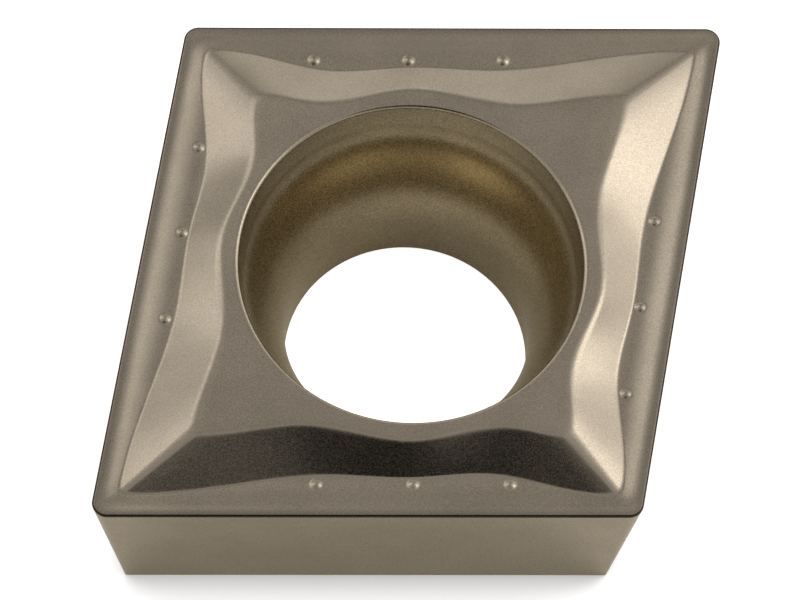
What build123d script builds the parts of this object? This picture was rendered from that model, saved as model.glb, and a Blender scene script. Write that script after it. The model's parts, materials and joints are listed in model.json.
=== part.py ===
from build123d import *

import os
from math import cos, radians, sin, tan

# Rhombic carbide turning insert, pressed and sintered as one piece. Millimetres and degrees.
# The origin is where the screw hole's axis meets the base face. +Z runs up the hole to the
# cutting edges, and +X runs along the front cutting edge.

# Blank: a rhombus round its inscribed circle, with flanks that lean in towards the base.
inscribed_circle = 9.525
nose_angle = 80
edge_height = 3.97
clearance_angle = 7
nose_radius = 0.2
base_nose_radius = 0.05
hone_radius = 0.04

# Chipbreaker: a level land behind the edge, a rake that falls from it, and a shallow groove.
land_width = 0.17
land_nose_radius = 0.1
rake_width = 0.4
groove_depth = 0.075
groove_nose_radius = 0.1

# Island inside the groove. Insets are measured in from the cutting edge: at the middle of a
# side, at the two hollows beside that middle, and at the corners. A corner is rounded over
# its run along either side.
island_height = 0.22
hollow_spacing = 3.1
foot_middle_inset = 0.77
foot_hollow_inset = 0.81
foot_corner_inset = 0.3
foot_corner_run = 0.1
crest_middle_inset = 1.4
crest_hollow_inset = 1.69
crest_corner_inset = 1.54
crest_corner_run = 0.12

# The island's wall from foot to crest, a straight slope eased at both ends: how far across,
# and how far up, at each level curve.
wall_levels = [(0, 0), (0.1, 0.055), (0.92, 0.956), (1, 1)]

# Small domes in the groove, one at the middle of each side and one beside each hollow.
dome_spacing = 1.7
dome_inset = 0.63
dome_width = 0.32
dome_height = 0.035

# Screw hole: a plain bore, a curved seat for the screw's head and a steep mouth.
bore_radius = 2.2
bore_length = 1.3
seat_radius = 2.93
seat_length = 2.0
mouth_radius = 3.05
mouth_rim_radius = 0.05

# Sizes that follow from those above.
apothem = inscribed_circle / 2
half_nose = radians(nose_angle / 2)
clearance = radians(clearance_angle)
base_inset = edge_height * tan(clearance)
groove_inset = land_width + rake_width
groove_level = edge_height - groove_depth
plateau_level = edge_height + island_height
dome_radius = (dome_width**2 / 4 + dome_height**2) / (2 * dome_height)
seat_level = bore_length + seat_length


def corners(inset):
    """Corners of the rhombus set in from the cutting edges, counter-clockwise from the front left."""
    acute = Vector(cos(half_nose), sin(half_nose)) * ((apothem - inset) / sin(half_nose))
    obtuse = Vector(sin(half_nose), -cos(half_nose)) * ((apothem - inset) / cos(half_nose))
    return [-acute, obtuse, acute, -obtuse]


def directions():
    """Direction along each side, counter-clockwise from the front one."""
    start = corners(0)
    return [(start[(side + 1) % 4] - start[side]).normalized() for side in range(4)]


def on_side(way, along, inset):
    """Point beside the middle of the side that runs this way, and in from its cutting edge."""
    inward = Vector(-way.Y, way.X)
    return inward * (inset - apothem) + way * along


def rhombus(inset, radius, height):
    """Rhombus set in from the cutting edges, with rounded noses."""
    with BuildSketch(Plane.XY.offset(height)) as outline:
        with BuildLine():
            Polyline(*corners(inset), close=True)
        make_face()
        fillet(outline.vertices(), radius)
    return outline.sketch


def nose_waste(number, inset, radius, height):
    """What a rounded nose leaves of its sharp corner, with room to spare outside the flanks."""
    tip = corners(inset)[number]
    before = directions()[number - 1]
    after = directions()[number]
    run = radius / tan(radians(180 - before.get_angle(after)) / 2)
    start = tip - before * run
    end = tip + after * run
    spare_before = Vector(before.Y, -before.X) * nose_radius
    spare_after = Vector(after.Y, -after.X) * nose_radius
    with BuildSketch(Plane.XY.offset(height)) as outline:
        with BuildLine():
            TangentArc(start, end, tangent=before)
            beyond = tip + spare_before + spare_after
            Polyline(end, end + spare_after, beyond, start + spare_before, start)
        make_face()
    return outline.sketch


def island_curve(middle, hollow, corner, run, height):
    """Level curve of the island: four waving sides joined by rounded corners."""
    tips = corners(corner)
    ways = directions()
    with BuildSketch(Plane.XY.offset(height)) as outline:
        with BuildLine():
            for side, way in enumerate(ways):
                next_side = (side + 1) % 4
                before_tip = tips[next_side] - way * run
                Spline(
                    tips[side] + way * run,
                    on_side(way, -hollow_spacing / 2, hollow),
                    on_side(way, 0, middle),
                    on_side(way, hollow_spacing / 2, hollow),
                    before_tip,
                    tangents=[way, way],
                )
                TangentArc(before_tip, tips[next_side] + ways[next_side] * run, tangent=way)
        make_face()
    return outline.sketch


with BuildPart() as insert:
    # Blank, cut to its flanks and then to its noses, with the cutting edges honed.
    with BuildSketch():
        with BuildLine():
            Polyline(*corners(0), close=True)
        make_face()
    extrude(amount=edge_height)
    for way in directions():
        outward = Vector(way.Y, -way.X)
        leaning = outward * cos(clearance) - Vector(0, 0, sin(clearance))
        on_edge = on_side(way, 0, 0) + Vector(0, 0, edge_height)
        split(bisect_by=Plane(on_edge, z_dir=leaning), keep=Keep.BOTTOM)
    for number in range(4):
        at_base = nose_waste(number, base_inset, base_nose_radius, 0)
        at_edge = nose_waste(number, 0, nose_radius, edge_height)
        loft([at_base, at_edge], ruled=True, mode=Mode.SUBTRACT)
    fillet(insert.faces().sort_by(Axis.Z)[-1].outer_wire().edges(), hone_radius)

    # Rake and groove.
    land = rhombus(land_width, land_nose_radius, edge_height)
    groove = rhombus(groove_inset, groove_nose_radius, groove_level)
    loft([groove, land], ruled=True, mode=Mode.SUBTRACT)

    # Island.
    level_curves = [
        island_curve(
            foot_middle_inset + across * (crest_middle_inset - foot_middle_inset),
            foot_hollow_inset + across * (crest_hollow_inset - foot_hollow_inset),
            foot_corner_inset + across * (crest_corner_inset - foot_corner_inset),
            foot_corner_run + across * (crest_corner_run - foot_corner_run),
            groove_level + up * (plateau_level - groove_level),
        )
        for across, up in wall_levels
    ]
    loft(level_curves, ruled=True)

    # Domes.
    for way in directions():
        for along in (-dome_spacing, 0, dome_spacing):
            spot = on_side(way, along, dome_inset)
            with Locations((spot.X, spot.Y, groove_level + dome_height - dome_radius)):
                Sphere(dome_radius)

    # Screw hole.
    with BuildSketch(Plane.XZ):
        with BuildLine():
            bore = Polyline((0, 0), (bore_radius, 0), (bore_radius, bore_length))
            seat = Spline(bore @ 1, (seat_radius, seat_level), tangents=[(0, 1), (0, 1)])
            mouth = Line(seat @ 1, (mouth_radius, plateau_level - mouth_rim_radius))
            rim_centre = (mouth_radius + mouth_rim_radius, plateau_level - mouth_rim_radius)
            rim = CenterArc(rim_centre, mouth_rim_radius, 180, -90)
            Polyline(rim @ 1, (0, plateau_level), (0, 0))
        make_face()
    revolve(axis=Axis.Z, mode=Mode.SUBTRACT)

insert.part.label = "insert"

os.makedirs("parts", exist_ok=True)
export_step(insert.part, "parts/insert.step")
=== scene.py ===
"""A coated carbide turning insert, pressed and sintered in one piece, on a studio table."""

import json
import math

import bpy
import numpy as np
from bpy.props import FloatProperty, FloatVectorProperty, IntProperty, PointerProperty
from bpy.types import Operator, Panel, PropertyGroup
from mathutils import Matrix, Vector, noise


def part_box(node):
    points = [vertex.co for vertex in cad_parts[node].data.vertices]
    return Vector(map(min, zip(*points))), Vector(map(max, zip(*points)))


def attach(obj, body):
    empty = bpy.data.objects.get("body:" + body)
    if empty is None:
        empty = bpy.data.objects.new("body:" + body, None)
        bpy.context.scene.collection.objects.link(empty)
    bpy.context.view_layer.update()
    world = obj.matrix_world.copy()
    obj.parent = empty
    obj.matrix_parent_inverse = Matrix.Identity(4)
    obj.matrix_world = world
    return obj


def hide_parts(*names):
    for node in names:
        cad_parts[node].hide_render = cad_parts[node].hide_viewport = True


bl_info = {
    "name": "Carbide Turning Insert",
    "version": (1, 0, 0),
    "blender": (4, 5, 0),
    "location": "3D View > Sidebar > Insert",
    "description": "Builds a coated carbide turning insert with its chipbreaker, and a studio for it",
    "category": "Add Mesh",
}

MM = 0.001
SIDES = 4

# The softer crest of a side's waved middle: where it starts to fade, and over what length, in
# shares of half the middle.
SOFT_CREST_END = 0.6
SOFT_CREST_FADE = 0.5

# How far the waved middle of a side reaches past its outer domes, over a dome's width.
MIDDLE_PAST_DOME = 1.25

# Points crowd round each dome: how many are added there for each one elsewhere, how far that
# reaches over the dome's width, and how finely it is worked out.
DOME_CROWDING = 3
DOME_REACH = 0.6
CROWDING_SAMPLES = 2001

# Blends: a dome into the groove, over the dome's height, and the rake into the island's wall,
# over the break width. The last keeps a blend of no width from dividing by nothing.
DOME_BLEND = 0.4
WALL_BLEND = 0.1
LEAST_BLEND = 1e-9

# The finer part of the ripple: its scale and height over the coarser part's, and the place in
# the noise that it is read from.
FINE_RIPPLE_SCALE = 2.7
FINE_RIPPLE_HEIGHT = 0.4
FINE_RIPPLE_PLACE = 9

# Shares of a quarter turn at which the rings of the two bevels lie, outside and in the bore.
FLANK_BEVEL_TURNS = (0.3, 0.65)
BORE_BEVEL_TURNS = (0, 0.35, 0.7, 1)

# The first ring past the hone and the last before the rim, over the radius of each.
PAST_HONE = 1.5
PAST_RIM = 1.6

# First and last ring down the mouth, as shares of its height, and how many there are.
MOUTH_RINGS = (0.06, 0.94, 5)

# Steps down the plain bore, and across the base face.
BORE_STEPS = 5
BASE_STEPS = 5

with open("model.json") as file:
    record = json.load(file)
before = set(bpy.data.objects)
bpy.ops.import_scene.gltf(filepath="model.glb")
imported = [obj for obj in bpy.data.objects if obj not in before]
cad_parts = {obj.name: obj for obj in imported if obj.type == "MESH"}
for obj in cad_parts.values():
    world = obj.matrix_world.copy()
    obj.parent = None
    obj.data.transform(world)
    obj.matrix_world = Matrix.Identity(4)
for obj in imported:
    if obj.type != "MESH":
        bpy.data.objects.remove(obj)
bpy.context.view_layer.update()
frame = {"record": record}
INSERT_LOW, INSERT_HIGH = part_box("insert")
SCREW_BORE = next(m for m in frame["record"]["mounts"] if m["name"] == "screw_bore")


def length(name, description, default):
    """A length in metres, shown in the scene's units."""
    return FloatProperty(
        name=name, description=description, default=default, min=0, precision=5, unit="LENGTH"
    )


def offset(name, description, default):
    """A distance in metres that may be negative."""
    return FloatProperty(
        name=name, description=description, default=default, precision=5, unit="LENGTH"
    )


def angle(name, description, default):
    """An angle that is given in degrees here and held in radians."""
    return FloatProperty(
        name=name, description=description, default=math.radians(default), subtype="ANGLE"
    )


def share(name, description, default):
    """A number from 0 to 1."""
    return FloatProperty(
        name=name, description=description, default=default, min=0, max=1, subtype="FACTOR"
    )


def count(name, description, default):
    """A whole number of steps."""
    return IntProperty(name=name, description=description, default=default, min=2)


def colour(name, description, default):
    """A linear colour."""
    return FloatVectorProperty(
        name=name, description=description, default=default, size=3, min=0, max=1, subtype="COLOR"
    )


class BlankSizes(PropertyGroup):
    """The rhombic blank, its flanks, noses and honed edge."""

    inscribed_circle: length(
        "Inscribed circle", "Diameter of the circle that touches the four cutting edges", 9.525 * MM
    )
    nose_angle: angle("Nose angle", "Angle between the sides at the sharper noses", 80)
    island_height: length("Island height", "Height of the island above the edges", 0.22 * MM)
    clearance_angle: angle("Clearance angle", "Lean of the flanks towards the base", 7)
    nose_radius: length("Nose radius", "Radius of the noses at the cutting edge", 0.27 * MM)
    base_nose_radius: length("Base nose radius", "Radius of the noses at the base", 0.05 * MM)
    hone_radius: length("Hone radius", "Rounding of the cutting edge", 0.04 * MM)
    base_bevel: length("Base bevel", "Break of the edges round the base face", 0.02 * MM)


class ChipbreakerSizes(PropertyGroup):
    """Land, rake, groove, island and domes. Insets are measured in from the cutting edge."""

    land_width: length("Land width", "Level band behind the cutting edge", 0.17 * MM)
    land_nose_radius: length("Land nose radius", "Radius where the land ends at a nose", 0.1 * MM)
    rake_width: length("Rake width", "Band that falls from the land to the groove", 0.4 * MM)
    groove_depth: length("Groove depth", "Depth of the groove below the cutting edge", 0.075 * MM)
    hollow_spacing: length("Hollow spacing", "Between the two hollows in a side", 3.1 * MM)
    foot_middle_inset: length("Foot at middle", "Inset of the island's foot", 0.77 * MM)
    foot_hollow_inset: length("Foot at hollow", "Inset of the island's foot", 0.81 * MM)
    foot_corner_inset: length("Foot at corner", "Inset of the island's foot", 0.3 * MM)
    foot_corner_run: length("Foot corner run", "Length of side that a corner takes", 0.1 * MM)
    crest_middle_inset: length("Crest at middle", "Inset of the island's crest", 1.4 * MM)
    crest_hollow_inset: length("Crest at hollow", "Inset of the island's crest", 1.69 * MM)
    crest_corner_inset: length("Crest at corner", "Inset of the island's crest", 1.54 * MM)
    crest_corner_run: length("Crest corner run", "Length of side that a corner takes", 0.2 * MM)
    dome_spacing: length("Dome spacing", "From the middle dome of a side to the next", 1.7 * MM)
    dome_inset: length("Dome inset", "Inset of the domes in the groove", 0.63 * MM)
    dome_width: length("Dome width", "Width of a dome where it leaves the groove", 0.22 * MM)
    dome_height: length("Dome height", "Height of a dome above the groove", 0.028 * MM)
    foot_blend: share("Foot blend", "Part of the island's wall that curves up from its foot", 0.03)
    crest_blend: share("Crest blend", "Part of the wall that curves over near a nose", 0.1)
    waved_crest_blend: share("Waved crest blend", "The same in the waved middle", 0.2)
    break_width: length("Break width", "Width over which land and rake blend", 0.1 * MM)
    groove_blend: length("Groove blend", "Width over which rake and groove blend", 0.22 * MM)
    nose_blend: length("Nose blend", "Width over which two sides' rakes blend", 0.35 * MM)
    ripple_height: length("Ripple height", "Unevenness of the pressed surface", 0.001 * MM)
    ripple_spacing: length("Ripple spacing", "Size of that unevenness", 0.55 * MM)


class HoleSizes(PropertyGroup):
    """The screw hole: a plain bore, a curved seat and a steep mouth."""

    bore_radius: length(
        "Bore radius", "Radius of the plain bore", SCREW_BORE["dims"]["r_mm"] * MM
    )
    bore_length: length("Bore length", "Height of the bore's straight part", 0.7 * MM)
    bore_ease: length("Bore ease", "Height over which the seat curves into the bore", 2.2 * MM)
    seat_top: length("Seat top", "Level where the seat starts below the mouth", 3.65 * MM)
    seat_radius: length("Seat radius", "Radius at the top of the screw's seat", 3.0 * MM)
    mouth_ease: length("Mouth ease", "Height over which the mouth curves into the seat", 0.9 * MM)
    mouth_radius: length("Mouth radius", "Radius just below the rim", 3.05 * MM)
    rim_radius: length("Rim radius", "Rounding of the mouth", 0.07 * MM)


class MeshSteps(PropertyGroup):
    """How finely the surface is divided."""

    side_middle: count("Side middle", "Steps along the waved middle of a side", 108)
    side_end: count("Side end", "Steps from there to each nose", 24)
    nose: count("Nose", "Steps round a nose", 14)
    flank: count("Flank", "Steps up the flank", 8)
    rounding: count("Rounding", "Steps across the hone and the hole's rim", 6)
    groove: count("Groove", "Steps from the land to the island's foot", 28)
    wall: count("Wall", "Steps from foot to crest", 32)
    plateau: count("Plateau", "Steps from crest to mouth", 5)
    seat: count("Seat", "Steps down the seat", 28)


def smooth_step(t):
    """0 to 1 with level ends."""
    return t * t * (3 - 2 * t)


def smooth_max(a, b, width):
    """The larger of two heights, blended over a width."""
    blend = np.clip(0.5 + 0.5 * (a - b) / width, 0, 1)
    return b + (a - b) * blend + width * blend * (1 - blend)


def blended_ramp(t, low_blend, high_blend):
    """Straight climb from 0 to 1 that curves in over the first share and out over the last."""
    slope = 1 / (1 - (low_blend + high_blend) / 2)
    left = slope * t * t / (2 * low_blend)
    middle = slope * (t - low_blend / 2)
    right = 1 - slope * (1 - t) ** 2 / (2 * high_blend)
    return np.where(t < low_blend, left, np.where(t > 1 - high_blend, right, middle))


def clamped_spline(knots, values, at):
    """Cubic through the knots, level at both ends."""
    gaps = np.diff(knots)
    slopes = np.diff(values) / gaps
    size = len(knots)
    system = np.eye(size)
    right = np.zeros(size)
    for i in range(1, size - 1):
        system[i, i - 1 : i + 2] = gaps[i], 2 * (gaps[i - 1] + gaps[i]), gaps[i - 1]
        right[i] = 3 * (gaps[i] * slopes[i - 1] + gaps[i - 1] * slopes[i])
    rise = np.linalg.solve(system, right)
    i = np.clip(np.searchsorted(knots, at) - 1, 0, size - 2)
    t = (at - knots[i]) / gaps[i]
    start = values[i] * (1 + 2 * t) * (1 - t) ** 2 + rise[i] * gaps[i] * t * (1 - t) ** 2
    end = values[i + 1] * t * t * (3 - 2 * t) + rise[i + 1] * gaps[i] * t * t * (t - 1)
    return start + end


class Plan:
    """Lines that run round the insert at a given inset, with matching points on every line."""

    def __init__(self, blank, breaker, steps):
        self.apothem = blank.inscribed_circle / 2
        self.nose_blend = breaker.nose_blend
        self.half_spacing = breaker.hollow_spacing / 2
        turn = math.pi - blank.nose_angle
        self.turns = [turn, math.pi - turn, turn, math.pi - turn]
        self.headings = [0, blank.nose_angle, math.pi, math.pi + blank.nose_angle]
        self.ways = [np.array((math.cos(h), math.sin(h))) for h in self.headings]
        self.inwards = [np.array((-way[1], way[0])) for way in self.ways]
        self.half_middle = breaker.dome_spacing + MIDDLE_PAST_DOME * breaker.dome_width
        self.stations = self.spread(breaker, steps)
        self.nose_shares = np.linspace(0, 1, steps.nose + 2)[1:-1]
        past = (np.abs(self.stations) - SOFT_CREST_END) / SOFT_CREST_FADE
        waved = 1 - smooth_step(np.clip(past, 0, 1))
        self.waved = np.tile(np.concatenate((waved, np.zeros(steps.nose))), SIDES)

    def spread(self, breaker, steps):
        """Stations along a side, in units where its waved middle runs from -1 to 1."""
        fine = np.linspace(-self.half_middle, self.half_middle, CROWDING_SAMPLES)
        density = np.ones_like(fine)
        for mark in (-breaker.dome_spacing, 0, breaker.dome_spacing):
            off = (fine - mark) / (DOME_REACH * breaker.dome_width)
            density += DOME_CROWDING * np.exp(-(off**2))
        passed = np.concatenate(([0], np.cumsum((density[1:] + density[:-1]) / 2)))
        equal = np.linspace(0, passed[-1], steps.side_middle + 1)
        middle = np.interp(equal, passed, fine) / self.half_middle
        end = np.linspace(1, 2, steps.side_end + 1)[1:]
        return np.concatenate((-end[::-1], middle, end))

    def line(self, middle, hollow, corner, runs):
        """Closed line with these insets and with corners rounded over these runs."""
        parts = []
        for side in range(SIDES):
            after = (side + 1) % SIDES
            reach = self.apothem - corner
            start = runs[side] - reach * math.tan(self.turns[side] / 2)
            end = reach * math.tan(self.turns[after] / 2) - runs[after]
            marks = (start, -self.half_middle, self.half_middle, end)
            along = np.interp(self.stations, (-2, -1, 1, 2), marks)
            knots = np.array((start, -self.half_spacing, 0, self.half_spacing, end))
            insets = clamped_spline(knots, np.array((corner, hollow, middle, hollow, corner)), along)
            way, inward = self.ways[side], self.inwards[side]
            parts.append(np.outer(along, way) + np.outer(insets - self.apothem, inward))
            radius = runs[after] / math.tan(self.turns[after] / 2)
            centre = way * end + inward * (corner - self.apothem + radius)
            bearing = self.headings[side] - math.pi / 2 + self.nose_shares * self.turns[after]
            parts.append(centre + radius * np.stack((np.cos(bearing), np.sin(bearing)), axis=1))
        return np.concatenate(parts)

    def even_line(self, inset, radius):
        """Closed line at one inset, with rounded noses."""
        runs = [radius * math.tan(turn / 2) for turn in self.turns]
        return self.line(inset, inset, inset, runs)

    def depth_inside(self, points):
        """Distance in from the cutting edges, blended where two sides meet at a nose."""
        depth = self.apothem + points @ self.inwards[0]
        for inward in self.inwards[1:]:
            side = self.apothem + points @ inward
            depth = -smooth_max(-depth, -side, self.nose_blend)
        return depth


def at_level(points, level):
    """Plan points lifted to a level, which may differ from point to point."""
    levels = np.broadcast_to(level, len(points))
    return np.column_stack((points, levels))


class InsertSurface:
    """Rings of points that follow the insert's skin from the base, over the top and down the hole."""

    def __init__(self, scene):
        self.blank = scene.insert_blank
        self.breaker = scene.insert_chipbreaker
        self.hole = scene.insert_hole
        self.steps = scene.insert_steps
        self.plan = Plan(self.blank, self.breaker, self.steps)
        self.top = INSERT_HIGH.z
        self.edge_height = self.top - self.blank.island_height
        self.groove_level = self.edge_height - self.breaker.groove_depth
        # Rings of the hone, from its foot to the one below its top. flank() finds them.
        self.honed = range(0)

    def flank(self):
        """Base edge and flank, up to where the hone starts."""
        blank = self.blank
        lean = math.tan(blank.clearance_angle)
        hone_start = self.edge_height - blank.hone_radius * (1 + math.sin(blank.clearance_angle))
        bevel = blank.base_bevel
        levels = [bevel, 2 * bevel, *np.linspace(4 * bevel, hone_start - bevel, self.steps.flank)]
        yield self.skirt(0, bevel)
        for share_up in FLANK_BEVEL_TURNS:
            level = bevel * (1 - math.cos(share_up * math.pi / 2))
            yield self.skirt(level, bevel * (1 - math.sin(share_up * math.pi / 2)))
        for level in [*levels, hone_start]:
            yield self.skirt(level, 0)
        hone_foot = 1 + len(FLANK_BEVEL_TURNS) + len(levels)
        self.honed = range(hone_foot, hone_foot + self.steps.rounding)
        for step in np.linspace(0, 1, self.steps.rounding + 1)[1:]:
            bearing = math.pi + blank.clearance_angle - step * (math.pi / 2 + blank.clearance_angle)
            centre = blank.hone_radius * (1 / math.cos(blank.clearance_angle) + lean)
            inset = centre + blank.hone_radius * math.cos(bearing)
            level = self.edge_height + blank.hone_radius * (math.sin(bearing) - 1)
            yield at_level(self.plan.even_line(inset, blank.nose_radius - inset), level)

    def skirt(self, level, trim):
        """Line round the flank at a level, in by a trim."""
        blank = self.blank
        up = level / self.edge_height
        inset = (self.edge_height - level) * math.tan(blank.clearance_angle) + trim
        radius = blank.base_nose_radius + up * (blank.nose_radius - blank.base_nose_radius)
        return at_level(self.plan.even_line(inset, radius), level)

    def rake_level(self, points):
        """Level of the land, rake and groove under these points."""
        breaker = self.breaker
        depth = self.plan.depth_inside(points)
        slope = breaker.groove_depth / breaker.rake_width
        falling = self.edge_height - (depth - breaker.land_width) * slope
        capped = -smooth_max(-falling, np.full_like(falling, -self.edge_height), breaker.break_width * slope)
        groove = np.full_like(capped, self.groove_level)
        return smooth_max(capped, groove, breaker.groove_blend * slope)

    def with_domes(self, points, level):
        """Level with the domes of all four sides on it."""
        breaker = self.breaker
        ball = (breaker.dome_width**2 / 4 + breaker.dome_height**2) / (2 * breaker.dome_height)
        centre_level = self.groove_level + breaker.dome_height - ball
        for way, inward in zip(self.plan.ways, self.plan.inwards):
            for along in (-breaker.dome_spacing, 0, breaker.dome_spacing):
                spot = way * along + inward * (breaker.dome_inset - self.plan.apothem)
                off = np.minimum(np.linalg.norm(points - spot, axis=1), ball)
                dome = centre_level + np.sqrt(ball**2 - off**2)
                level = smooth_max(level, dome, DOME_BLEND * breaker.dome_height)
        return level

    def ripple(self, points):
        """Small unevenness left by the pressing die."""
        scale = 1 / self.breaker.ripple_spacing
        spots = np.column_stack((points * scale, np.zeros(len(points))))
        coarse = np.array([noise.noise(Vector(spot)) for spot in spots])
        fine_spots = spots * FINE_RIPPLE_SCALE + FINE_RIPPLE_PLACE
        fine = np.array([noise.noise(Vector(spot)) for spot in fine_spots])
        return (coarse + FINE_RIPPLE_HEIGHT * fine) * self.breaker.ripple_height

    def joined(self, points, wall):
        """Island's wall and the rake with its domes, blended where the rake stands higher."""
        rake = self.with_domes(points, self.rake_level(points))
        above = np.clip((rake - self.groove_level) / self.breaker.groove_depth, 0, 1)
        width = WALL_BLEND * self.breaker.break_width * above + LEAST_BLEND
        return smooth_max(wall, rake, width)

    def land_and_groove(self):
        """From the hone over the land, the rake and the groove to the island's foot."""
        breaker = self.breaker
        land = self.plan.even_line(breaker.land_width, breaker.land_nose_radius)
        past_hone = PAST_HONE * self.blank.hone_radius
        hone_end = self.plan.even_line(past_hone, self.blank.nose_radius - past_hone)
        foot = self.level_curve(0)
        for step in (0, 0.5):
            points = hone_end + (land - hone_end) * step
            yield at_level(points, self.edge_height)
        for step in np.linspace(0, 1, self.steps.groove + 1)[:-1]:
            points = land + (foot - land) * step
            level = self.joined(points, np.full(len(points), self.groove_level))
            first_third = min(1, step * 3)
            yield at_level(points, level + self.ripple(points) * smooth_step(first_third))

    def level_curve(self, across):
        """Level curve of the island's wall, from its foot at 0 to its crest at 1."""
        breaker = self.breaker
        foot = (breaker.foot_middle_inset, breaker.foot_hollow_inset, breaker.foot_corner_inset)
        crest = (breaker.crest_middle_inset, breaker.crest_hollow_inset, breaker.crest_corner_inset)
        insets = [a + across * (b - a) for a, b in zip(foot, crest)]
        run = breaker.foot_corner_run + across * (breaker.crest_corner_run - breaker.foot_corner_run)
        return self.plan.line(*insets, [run] * SIDES)

    def island(self):
        """The island's wall and plateau, up to the rim of the hole."""
        breaker = self.breaker
        widening = breaker.waved_crest_blend - breaker.crest_blend
        crest_blend = breaker.crest_blend + self.plan.waved * widening
        for across in np.linspace(0, 1, self.steps.wall + 1):
            points = self.level_curve(across)
            up = blended_ramp(across, breaker.foot_blend, crest_blend)
            level = self.joined(points, self.groove_level + up * (self.top - self.groove_level))
            yield at_level(points, level + self.ripple(points) * (1 - smooth_step(across)))
        crest = self.level_curve(1)
        bearing = np.arctan2(crest[:, 1], crest[:, 0])
        self.round = np.column_stack((np.cos(bearing), np.sin(bearing)))
        rim = self.round * (self.hole.mouth_radius + PAST_RIM * self.hole.rim_radius)
        for step in np.linspace(0, 1, self.steps.plateau + 1)[1:]:
            yield at_level(crest + (rim - crest) * step, self.top)

    def seat_profile(self):
        """Radius and level down the seat, a cone eased into the mouth above and the bore below."""
        hole = self.hole
        levels = np.linspace(hole.seat_top, hole.bore_length, self.steps.seat + 1)
        from_mouth = smooth_step(np.clip((hole.seat_top - levels) / hole.mouth_ease, 0, 1))
        to_bore = smooth_step(np.clip((levels - hole.bore_length) / hole.bore_ease, 0, 1))
        slope = from_mouth * to_bore
        fallen = np.concatenate(([0], np.cumsum((slope[1:] + slope[:-1]) / 2)))
        radii = np.interp(fallen / fallen[-1], (0, 1), (hole.seat_radius, hole.bore_radius))
        return list(zip(radii, levels))

    def screw_hole(self):
        """Rim, mouth, seat and bore, from the top down."""
        hole = self.hole
        rim_level = self.top - hole.rim_radius
        profile = []
        for step in np.linspace(0, 1, self.steps.rounding + 1):
            bearing = math.pi / 2 * (1 + step)
            radius = hole.mouth_radius + hole.rim_radius * (1 + math.cos(bearing))
            profile.append((radius, rim_level + hole.rim_radius * math.sin(bearing)))
        for step in np.linspace(*MOUTH_RINGS):
            radius = hole.mouth_radius + step * (hole.seat_radius - hole.mouth_radius)
            profile.append((radius, rim_level + step * (hole.seat_top - rim_level)))
        profile += self.seat_profile()
        bevel = self.blank.base_bevel
        for level in np.linspace(hole.bore_length, 2 * bevel, BORE_STEPS + 1)[1:]:
            profile.append((hole.bore_radius, level))
        for share_down in BORE_BEVEL_TURNS:
            out = 1 - math.cos(share_down * math.pi / 2)
            up = 1 - math.sin(share_down * math.pi / 2)
            profile.append((hole.bore_radius + bevel * out, bevel * up))
        for radius, level in profile:
            yield at_level(self.round * radius, level)

    def base_face(self):
        """The flat underside, from the bore out to the flanks."""
        rim = self.round * (self.hole.bore_radius + 2 * self.blank.base_bevel)
        edge = self.skirt(0, 2 * self.blank.base_bevel)[:, :2]
        for step in np.linspace(0, 1, BASE_STEPS + 1):
            yield at_level(rim + (edge - rim) * step, 0)

    def rings(self):
        """All rings in order. The last one meets the first."""
        yield from self.flank()
        yield from self.land_and_groove()
        yield from self.island()
        yield from self.screw_hole()
        yield from self.base_face()


def skin_mesh(name, rings):
    """Closed mesh of quads through rings of equally many points, joined end to end both ways."""
    rings = np.array(rings)
    rows, columns = rings.shape[:2]
    row, column = np.meshgrid(np.arange(rows), np.arange(columns), indexing="ij")
    next_row, next_column = (row + 1) % rows, (column + 1) % columns
    corners = (
        row * columns + column,
        row * columns + next_column,
        next_row * columns + next_column,
        next_row * columns + column,
    )
    mesh = bpy.data.meshes.new(name)
    mesh.from_pydata(rings.reshape(-1, 3), [], np.stack(corners, axis=-1).reshape(-1, 4))
    mesh.validate()
    mesh.shade_smooth()
    return mesh


# Painted shade: how far the hone's painted dark reflection reaches onto the hone's top and the first rings
# of the land.
LAND_SHADE = (0.3, 0.3, 0.15)


class INSERT_OT_body(Operator):
    """Models the insert's whole skin as one closed mesh"""

    bl_idname = "insert.body"
    bl_label = "Insert Body"

    def execute(self, context):
        surface = InsertSurface(context.scene)
        rings = list(surface.rings())
        mesh = skin_mesh("pressed_insert", rings)
        # Painted dark reflection: the hone attribute marks where the honed edge and the start of the land
        # are darkened.
        hone = mesh.attributes.new("hone", "FLOAT", "POINT")
        painted_edge_shade = np.zeros((len(rings), len(rings[0])))
        painted_edge_shade[surface.honed] = 1
        hone_top = surface.honed.stop
        painted_edge_shade[hone_top : hone_top + len(LAND_SHADE)] = np.array(LAND_SHADE)[:, None]
        hone.data.foreach_set("value", painted_edge_shade.ravel())
        body = bpy.data.objects.new("pressed_insert", mesh)
        context.collection.objects.link(body)
        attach(body, "root")
        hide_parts("insert")
        return {"FINISHED"}


# Noises of the coating: cells to a metre, and detail.
BLOTCH_NOISE = (900, 3)
GRAIN_NOISE = (36000, 2)
SPECKLE_NOISE = (30000, 1)

# The middle of a noise, where nearly all of its values lie.
NOISE_LOW, NOISE_HIGH = 0.3, 0.7

ROUGHNESS_SWING = 0.04
GRAIN_DEPTH = 0.01 * MM

# Share of the mouth's radius inside which the hole's colour is full.
HOLE_COLOUR_EDGE = 0.98


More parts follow.
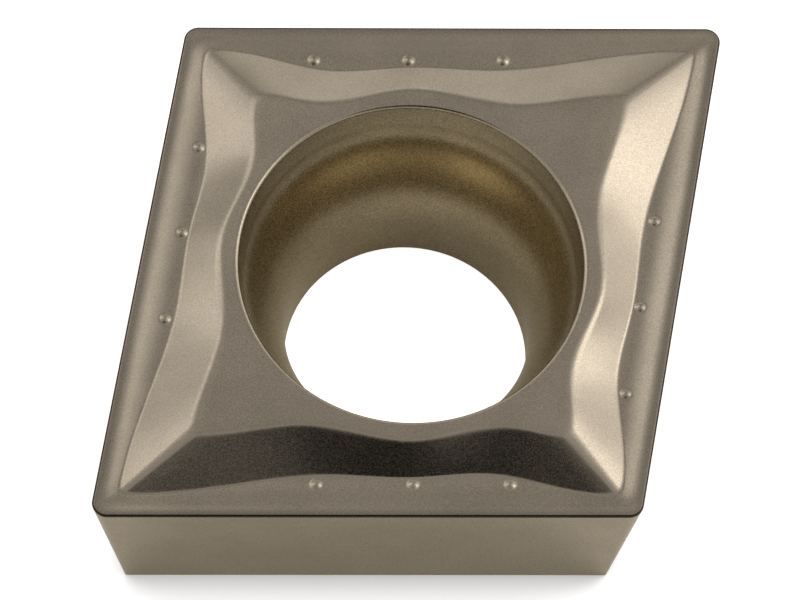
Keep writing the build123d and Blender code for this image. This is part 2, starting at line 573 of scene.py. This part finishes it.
class CoatingLook(PropertyGroup):
    """Colour and finish of the hard coating, and the painted dark reflection on its honed edge."""

    tint: colour("Coating colour", "Colour of the coating on the outside", (0.26, 0.22, 0.17))
    hole_tint: colour("Colour in the hole", "Colour of the coating in the hole", (0.4, 0.33, 0.21))
    # Painted dark reflection: the honed edge's near-black colour stands in for the dark that its rounded
    # edge reflects.
    hone_painted_shade: colour("Honed edge", "Colour of the honed cutting edge", (0.035, 0.028, 0.022))
    edge_tint: colour("Grazing colour", "Tint of the coating at grazing angles", (0.8, 0.75, 0.65))
    roughness: share("Roughness", "Roughness of the outside", 0.25)
    hole_roughness: share("Roughness in the hole", "Roughness of the seat and the bore", 0.28)
    blotch: share("Blotches", "How far the colour drifts from place to place", 0.05)
    grain: share("Grain", "Strength of the fine sintered grain", 0.03)
    speckle: share("Speckle", "Spread of light and dark grains", 0.06)
    hole_speckle: share("Speckle in the hole", "The same on the seat and the bore", 0.2)


class Nodes:
    """Short words for building a node tree."""

    def __init__(self, tree):
        self.tree = tree
        tree.nodes.clear()

    def add(self, kind, **settings):
        node = self.tree.nodes.new(kind)
        for name, value in settings.items():
            setattr(node, name, value)
        return node

    def feed(self, socket, value):
        if isinstance(value, bpy.types.NodeSocket):
            self.tree.links.new(value, socket)
        else:
            socket.default_value = value

    def math(self, operation, *values):
        node = self.add("ShaderNodeMath", operation=operation)
        for socket, value in zip(node.inputs, values):
            self.feed(socket, value)
        return node.outputs[0]

    def ramp(self, value, low, high, to_low=0.0, to_high=1.0):
        node = self.add("ShaderNodeMapRange", interpolation_type="SMOOTHSTEP")
        for socket, given in zip(node.inputs, (value, low, high, to_low, to_high)):
            self.feed(socket, given)
        return node.outputs[0]

    def mix(self, share_of_second, first, second, blend="MIX"):
        node = self.add("ShaderNodeMix", data_type="RGBA", blend_type=blend)
        self.feed(node.inputs["Factor"], share_of_second)
        self.feed(node.inputs["A"], first)
        self.feed(node.inputs["B"], second)
        return node.outputs["Result"]

    def noise(self, vector, scale, detail):
        node = self.add("ShaderNodeTexNoise")
        self.feed(node.inputs["Vector"], vector)
        self.feed(node.inputs["Scale"], scale)
        self.feed(node.inputs["Detail"], detail)
        return node.outputs["Fac"]


def coated_carbide(look, hole):
    """Satin metallic coating over sintered grain, more golden in the hole, with a painted dark reflection on
    the honed edge.
    """
    material = bpy.data.materials.new("coated_carbide")
    material.use_nodes = True
    nodes = Nodes(material.node_tree)
    place = nodes.add("ShaderNodeTexCoord").outputs["Object"]
    split = nodes.add("ShaderNodeSeparateXYZ")
    nodes.feed(split.inputs[0], place)
    radius = nodes.math(
        "SQRT",
        nodes.math(
            "ADD",
            nodes.math("MULTIPLY", split.outputs["X"], split.outputs["X"]),
            nodes.math("MULTIPLY", split.outputs["Y"], split.outputs["Y"]),
        ),
    )
    rim_edge = hole.mouth_radius + hole.rim_radius
    in_hole = nodes.ramp(radius, rim_edge, HOLE_COLOUR_EDGE * hole.mouth_radius, 0, 1)
    blotches = nodes.noise(place, *BLOTCH_NOISE)
    drift = nodes.ramp(blotches, NOISE_LOW, NOISE_HIGH, 1 - look.blotch, 1 + look.blotch)
    grain = nodes.noise(place, *GRAIN_NOISE)
    speckle = nodes.ramp(in_hole, 0, 1, look.speckle, look.hole_speckle)
    grains = nodes.ramp(nodes.noise(place, *SPECKLE_NOISE), NOISE_LOW, NOISE_HIGH, -1, 1)
    uneven = nodes.math("MULTIPLY", drift, nodes.math("MULTIPLY_ADD", grains, speckle, 1.0))
    # Painted dark reflection on the honed edge and the land's first rings, masked by the hone attribute.
    hone = nodes.add("ShaderNodeAttribute", attribute_name="hone").outputs["Fac"]
    tint = nodes.mix(in_hole, (*look.tint, 1), (*look.hole_tint, 1))
    tint = nodes.mix(hone, tint, (*look.hone_painted_shade, 1))
    colour_out = nodes.mix(1.0, tint, uneven, "MULTIPLY")
    rough = nodes.ramp(in_hole, 0, 1, look.roughness, look.hole_roughness)
    swing = nodes.ramp(grain, NOISE_LOW, NOISE_HIGH, -ROUGHNESS_SWING, ROUGHNESS_SWING)
    rough_out = nodes.math("ADD", rough, swing)
    bump = nodes.add("ShaderNodeBump")
    nodes.feed(bump.inputs["Height"], grain)
    bump.inputs["Strength"].default_value = look.grain
    bump.inputs["Distance"].default_value = GRAIN_DEPTH
    shader = nodes.add("ShaderNodeBsdfPrincipled")
    shader.inputs["Metallic"].default_value = 1
    shader.inputs["Specular Tint"].default_value = (*look.edge_tint, 1)
    nodes.feed(shader.inputs["Base Color"], colour_out)
    nodes.feed(shader.inputs["Roughness"], rough_out)
    nodes.feed(shader.inputs["Normal"], bump.outputs["Normal"])
    output = nodes.add("ShaderNodeOutputMaterial")
    nodes.feed(output.inputs["Surface"], shader.outputs["BSDF"])
    return material


class INSERT_OT_coating(Operator):
    """Coats the insert's body"""

    bl_idname = "insert.coating"
    bl_label = "Coating"

    def execute(self, context):
        body = bpy.data.objects["pressed_insert"]
        body.data.materials.append(coated_carbide(context.scene.insert_coating, context.scene.insert_hole))
        return {"FINISHED"}


class StudioSetup(PropertyGroup):
    """Table, soft boxes and camera. Bearings are clockwise from the back, seen from above."""

    table_radius: length("Table radius", "Flat part of the white table", 450 * MM)
    sweep_radius: length("Sweep radius", "Curve where the table turns up", 100 * MM)
    table_white: share("Table white", "How much light the table returns", 0.9)
    table_glow: share("Table glow", "Backlight of the table as it is seen", 0.6)
    # Painted pool of light: the table glows brighter under the hole, where the hole's shadow falls.
    hole_glow: share("Glow under the hole", "The same where the hole shows the table", 0.9)
    table_sheen: share("Table in the metal", "Backlight as the metal reflects it", 0.25)
    hole_sheen: share("Hole's floor in the metal", "The same inside the hole", 0.1)
    # Painted contact shadow: the reach over which the table's glow darkens round the insert's base.
    painted_shadow_reach: length("Contact reach", "Width of the dark seam round the insert's base", 0.5 * MM)
    tent_light: share("Tent light", "Brightness of the light tent round the table", 0.85)
    tent_back: share("Tent back", "Brightness of the tent's back wall", 0.52)
    box_distance: length("Soft box distance", "From the insert to each soft box", 90 * MM)
    camera_bearing: angle("Camera bearing", "Camera's place round the insert", 184.015)
    camera_elevation: angle("Camera elevation", "Camera's height over the table", 65.93)
    camera_roll: angle("Camera roll", "Lean of the camera", 3.778)
    camera_distance: length("Camera distance", "From the camera to the aim", 127.883 * MM)
    aim_right: offset("Aim right", "Camera's shift to its right of the insert's axis", -0.0875 * MM)
    aim_up: offset("Aim up", "Camera's shift above the insert's axis", 1.051 * MM)
    lens: FloatProperty(name="Lens", default=315.35, description="Focal length in millimetres")


# Bearing, elevation, width and height in degrees, as seen from the insert, and the radiance
# that the box adds to the tent's.
SOFT_BOXES = {
    "right_box": (76, 54, 22, 20, 2.7),
    "right_wing": (58, 31, 38, 28, 1.0),
    "right_bridge": (42, 60, 20, 20, 0.7),
    "left_box": (-62, 50, 24, 20, 1.0),
    "left_wing": (-66, 32, 24, 26, 0.5),
    "left_bridge": (-29, 58, 18, 16, 1.2),
    "back_box": (0, 20, 70, 26, 0.5),
}

# Bearing and elevation of a spot in the tent, and the angles over which it fades out, in degrees.
TENT_BACK = (0, 60, 4, 28)
DARK_SPOTS = {
    "camera": (186, 60, 20, 28),
    "camera_arm": (197, 77, 6, 15),
}


# Watts that give a lamp of one square metre a radiance of one.
LAMP_POWER = 4

# Points round the table, steps up its sweep, and its inmost ring over its radius.
TABLE_COLUMNS = 96
SWEEP_STEPS = 12
TABLE_HUB = 0.02

TABLE_ROUGHNESS = 0.9
TABLE_GLOSS = 0.1
# Samples of the ambient occlusion that paints the contact shadow on the table.
PAINTED_SHADOW_SAMPLES = 8

# Width of the camera's sensor in millimetres, and the nearest that it sees.
SENSOR_WIDTH = 36
NEAREST_SEEN = 1 * MM

# Where the painted pool of light under the hole has faded into the open table's glow, over the bore's
# radius.
HOLE_GLOW_REACH = 1.2


def direction(bearing, elevation):
    """Unit vector to a bearing, clockwise from the back, and an elevation."""
    level = math.cos(elevation)
    return Vector((math.sin(bearing) * level, math.cos(bearing) * level, math.sin(elevation)))


def tent_world(studio):
    """Light tent, dimmer at the back, with the dark camera and its arm showing through it."""
    tent = bpy.data.worlds.new("light_tent")
    tent.use_nodes = True
    nodes = Nodes(tent.node_tree)
    ray = nodes.add("ShaderNodeTexCoord").outputs["Generated"]

    def spot(bearing, elevation, inner, outer):
        toward = nodes.add("ShaderNodeVectorMath", operation="DOT_PRODUCT")
        nodes.feed(toward.inputs[0], ray)
        nodes.feed(toward.inputs[1], direction(math.radians(bearing), math.radians(elevation)))
        edges = math.cos(math.radians(outer)), math.cos(math.radians(inner))
        return nodes.ramp(toward.outputs["Value"], *edges)

    level = nodes.ramp(spot(*TENT_BACK), 0, 1, studio.tent_light, studio.tent_back)
    for dark_spot in DARK_SPOTS.values():
        lit = nodes.math("SUBTRACT", 1.0, spot(*dark_spot))
        level = nodes.math("MULTIPLY", level, lit)
    background = nodes.add("ShaderNodeBackground")
    nodes.feed(background.inputs["Strength"], level)
    background.inputs["Color"].default_value = (1, 1, 1, 1)
    output = nodes.add("ShaderNodeOutputWorld")
    nodes.feed(output.inputs["Surface"], background.outputs[0])
    return tent


def table_material(studio, hole):
    """White table with a glow as far as the eye and the metal see it, a painted pool of light under the hole
    and a painted contact shadow round the insert's base.
    """
    material = bpy.data.materials.new("white_table")
    material.use_nodes = True
    nodes = Nodes(material.node_tree)
    place = nodes.add("ShaderNodeTexCoord").outputs["Object"]
    from_axis = nodes.add("ShaderNodeVectorMath", operation="LENGTH")
    nodes.feed(from_axis.inputs[0], place)
    reach = from_axis.outputs["Value"], hole.bore_radius, HOLE_GLOW_REACH * hole.bore_radius
    # Painted contact shadow: ambient occlusion dims the open table's glow near the insert's base.
    painted_contact_shadow = nodes.add("ShaderNodeAmbientOcclusion", samples=PAINTED_SHADOW_SAMPLES)
    painted_contact_shadow.inputs["Distance"].default_value = studio.painted_shadow_reach
    shadowed_open_glow = nodes.math("MULTIPLY", painted_contact_shadow.outputs["AO"], studio.table_glow)
    # Painted pool of light: the glow is brighter under the hole, so the table seen through it stays white.
    seen = nodes.ramp(*reach, studio.hole_glow, shadowed_open_glow)
    mirrored = nodes.ramp(*reach, studio.hole_sheen, studio.table_sheen)
    path = nodes.add("ShaderNodeLightPath")
    straight = nodes.math("MAXIMUM", path.outputs["Is Camera Ray"], path.outputs["Is Transmission Ray"])
    glow = nodes.math(
        "MAXIMUM",
        nodes.math("MULTIPLY", straight, seen),
        nodes.math("MULTIPLY", path.outputs["Is Glossy Ray"], mirrored),
    )
    shader = nodes.add("ShaderNodeBsdfPrincipled")
    shader.inputs["Base Color"].default_value = (*[studio.table_white] * 3, 1)
    shader.inputs["Roughness"].default_value = TABLE_ROUGHNESS
    shader.inputs["Specular IOR Level"].default_value = TABLE_GLOSS
    shader.inputs["Emission Color"].default_value = (1, 1, 1, 1)
    nodes.feed(shader.inputs["Emission Strength"], glow)
    output = nodes.add("ShaderNodeOutputMaterial")
    nodes.feed(output.inputs["Surface"], shader.outputs["BSDF"])
    return material


def add_table(context, studio):
    """Round white table whose rim sweeps up out of sight."""
    profile = [(TABLE_HUB * studio.table_radius, 0), (studio.table_radius, 0)]
    for bearing in np.linspace(0, math.pi / 2, SWEEP_STEPS + 1)[1:]:
        out = studio.table_radius + studio.sweep_radius * math.sin(bearing)
        profile.append((out, studio.sweep_radius * (1 - math.cos(bearing))))
    profile.append((profile[-1][0], 2 * studio.sweep_radius))
    columns = TABLE_COLUMNS
    around = np.linspace(0, 2 * math.pi, columns, endpoint=False)
    points = [(0, 0, 0)]
    for radius, level in profile:
        points += [(radius * math.cos(a), radius * math.sin(a), level) for a in around]
    faces = [(0, 1 + i, 1 + (i + 1) % columns) for i in range(columns)]
    for row in range(len(profile) - 1):
        for i in range(columns):
            here, after = 1 + row * columns + i, 1 + row * columns + (i + 1) % columns
            faces.append((here, here + columns, after + columns, after))
    mesh = bpy.data.meshes.new("table")
    mesh.from_pydata(points, [], faces)
    mesh.shade_smooth()
    table = bpy.data.objects.new("table", mesh)
    table.data.materials.append(table_material(studio, context.scene.insert_hole))
    context.collection.objects.link(table)


def add_soft_box(context, studio, name, bearing, elevation, width, height, radiance):
    """Rectangular lamp that faces the insert."""
    lamp = bpy.data.lights.new(name, "AREA")
    lamp.shape = "RECTANGLE"
    lamp.size = 2 * studio.box_distance * math.tan(math.radians(width) / 2)
    lamp.size_y = 2 * studio.box_distance * math.tan(math.radians(height) / 2)
    lamp.energy = LAMP_POWER * radiance * lamp.size * lamp.size_y
    box = bpy.data.objects.new(name, lamp)
    out = direction(math.radians(bearing), math.radians(elevation))
    box.location = out * studio.box_distance
    box.rotation_mode = "QUATERNION"
    box.rotation_quaternion = out.to_track_quat("Z", "Y")
    box.visible_camera = False
    context.collection.objects.link(box)


def add_camera(context, studio):
    """Camera that looks down on the insert from the front."""
    back = direction(studio.camera_bearing, studio.camera_elevation)
    level_right = Vector((-math.cos(studio.camera_bearing), math.sin(studio.camera_bearing), 0))
    level_up = back.cross(level_right)
    right = math.cos(studio.camera_roll) * level_right + math.sin(studio.camera_roll) * level_up
    up = math.cos(studio.camera_roll) * level_up - math.sin(studio.camera_roll) * level_right
    lens = bpy.data.cameras.new("camera")
    lens.sensor_width = SENSOR_WIDTH
    lens.lens = studio.lens
    lens.clip_start = NEAREST_SEEN
    camera = bpy.data.objects.new("camera", lens)
    place = back * studio.camera_distance + right * studio.aim_right + up * studio.aim_up
    camera.matrix_world = Matrix.Translation(place) @ Matrix((right, up, back)).transposed().to_4x4()
    context.collection.objects.link(camera)
    context.scene.camera = camera


class INSERT_OT_studio(Operator):
    """Sets the table, the soft boxes, the light tent and the camera"""

    bl_idname = "insert.studio"
    bl_label = "Studio"

    def execute(self, context):
        studio = context.scene.insert_studio
        add_table(context, studio)
        for name, box in SOFT_BOXES.items():
            add_soft_box(context, studio, name, *box)
        context.scene.world = tent_world(studio)
        add_camera(context, studio)
        context.scene.view_settings.view_transform = "Standard"
        return {"FINISHED"}


class INSERT_PT_sidebar(Panel):
    """Sizes, finish and studio of the insert"""

    bl_idname = "INSERT_PT_sidebar"
    bl_label = "Carbide Insert"
    bl_space_type = "VIEW_3D"
    bl_region_type = "UI"
    bl_category = "Insert"

    def draw(self, context):
        for kind in OPERATORS:
            self.layout.operator(kind.bl_idname)
        for name, kind in SETTINGS.items():
            box = self.layout.box()
            box.label(text=kind.__doc__)
            for field in kind.__annotations__:
                box.prop(getattr(context.scene, name), field)


SETTINGS = {
    "insert_blank": BlankSizes,
    "insert_chipbreaker": ChipbreakerSizes,
    "insert_hole": HoleSizes,
    "insert_steps": MeshSteps,
    "insert_coating": CoatingLook,
    "insert_studio": StudioSetup,
}
OPERATORS = (INSERT_OT_body, INSERT_OT_coating, INSERT_OT_studio)


def register():
    for name, kind in SETTINGS.items():
        bpy.utils.register_class(kind)
        setattr(bpy.types.Scene, name, PointerProperty(type=kind))
    for kind in (*OPERATORS, INSERT_PT_sidebar):
        bpy.utils.register_class(kind)


def unregister():
    for kind in (INSERT_PT_sidebar, *reversed(OPERATORS)):
        bpy.utils.unregister_class(kind)
    for name, kind in reversed(SETTINGS.items()):
        delattr(bpy.types.Scene, name)
        bpy.utils.unregister_class(kind)


def main():
    register()
    bpy.ops.insert.body()
    bpy.ops.insert.coating()
    bpy.ops.insert.studio()


if __name__ == "__main__":
    main()
